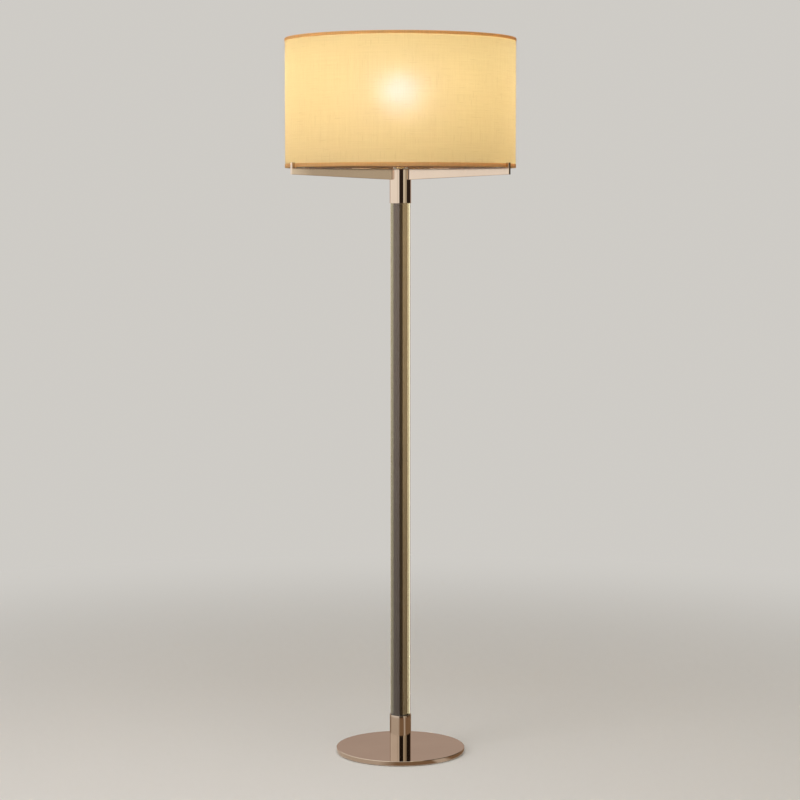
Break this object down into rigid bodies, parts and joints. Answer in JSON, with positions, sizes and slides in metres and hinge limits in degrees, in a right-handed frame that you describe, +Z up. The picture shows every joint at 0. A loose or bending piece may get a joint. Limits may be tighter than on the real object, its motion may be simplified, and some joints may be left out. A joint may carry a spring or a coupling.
{
  "type": "column floor lamp",
  "caption": "Free-standing floor lamp: round weighted base, clear glass column over a polished tube, three-arm spider and a linen drum shade.",
  "frame": {"origin": "centre of the felt's underside, on the floor under the column's axis", "axes": "+Z up along the column, -Y to the front (the side seen in the picture), +X to the viewer's right; one arm points along +Y"},
  "size_m": [0.5079, 0.5241, 1.5835],
  "materials": {
    "polished_nickel": "polished",
    "polished_tube": "polished",
    "zinc_steel": "zinc plated, satin",
    "brass": "satin",
    "column_glass": "clear, polished",
    "bulb_glass": "frosted white",
    "bulb_metal": "satin",
    "bulb_insulator": "glossy",
    "linen": "plain linen weave",
    "hem_fabric": "fine woven band",
    "styrene": "matt, translucent",
    "ring_wire": "white powder coat",
    "felt": "felted",
    "clear_silicone": "soft, translucent",
    "black_plastic": "matt",
    "black_phenolic": "moulded, semi-gloss",
    "fibre_board": "pressed fibre, matt"
  },
  "bodies": {
    "stand": {"base_plate": "polished_nickel", "felt_pad": "felt", "cord_bushing": "black_plastic", "base_washer": "zinc_steel", "base_nut": "zinc_steel", "center_pipe": "zinc_steel", "lower_collar": "polished_nickel", "lower_gasket": "clear_silicone", "upper_gasket": "clear_silicone", "lower_bush": "zinc_steel", "upper_bush": "zinc_steel", "inner_tube": "polished_tube", "glass_column": "column_glass", "upper_collar": "polished_nickel", "spider_hub": "zinc_steel", "arm_rear": "polished_nickel", "arm_left": "polished_nickel", "arm_right": "polished_nickel", "spider_plate": "polished_nickel", "arm_screws": "zinc_steel", "hub_nut": "brass", "shade_pads": "clear_silicone", "socket_riser": "polished_nickel", "socket_cap": "brass", "socket_shell": "brass", "socket_liner": "fibre_board", "socket_block": "black_phenolic", "screw_shell": "brass", "center_contact": "brass", "terminal_screws": "brass"},
    "shade": {"shade_fabric": "linen", "shade_liner": "styrene", "bottom_trim": "hem_fabric", "top_trim": "hem_fabric", "bottom_ring": "ring_wire", "top_ring": "ring_wire"},
    "bulb": {"bulb_globe": "bulb_glass", "bulb_cap": "bulb_metal", "bulb_insulator": "bulb_insulator", "bulb_contact": "bulb_metal"},
    "switch": {"switch_shaft": "brass", "switch_knob": "black_phenolic"}
  },
  "joints": [
    {"name": "shade_lift", "type": "slide", "parent": "stand", "child": "shade", "axis": [0, 0, 1], "range_m": [0, 0.22]},
    {"name": "bulb_removal", "type": "slide", "parent": "stand", "child": "bulb", "axis": [0, 0, 1], "range_m": [0, 0.21]},
    {"name": "switch_turn", "type": "hinge", "parent": "stand", "child": "switch", "pos_m": [0, 0.02, 1.368], "axis": [0, 1, 0], "continuous": true}
  ]
}
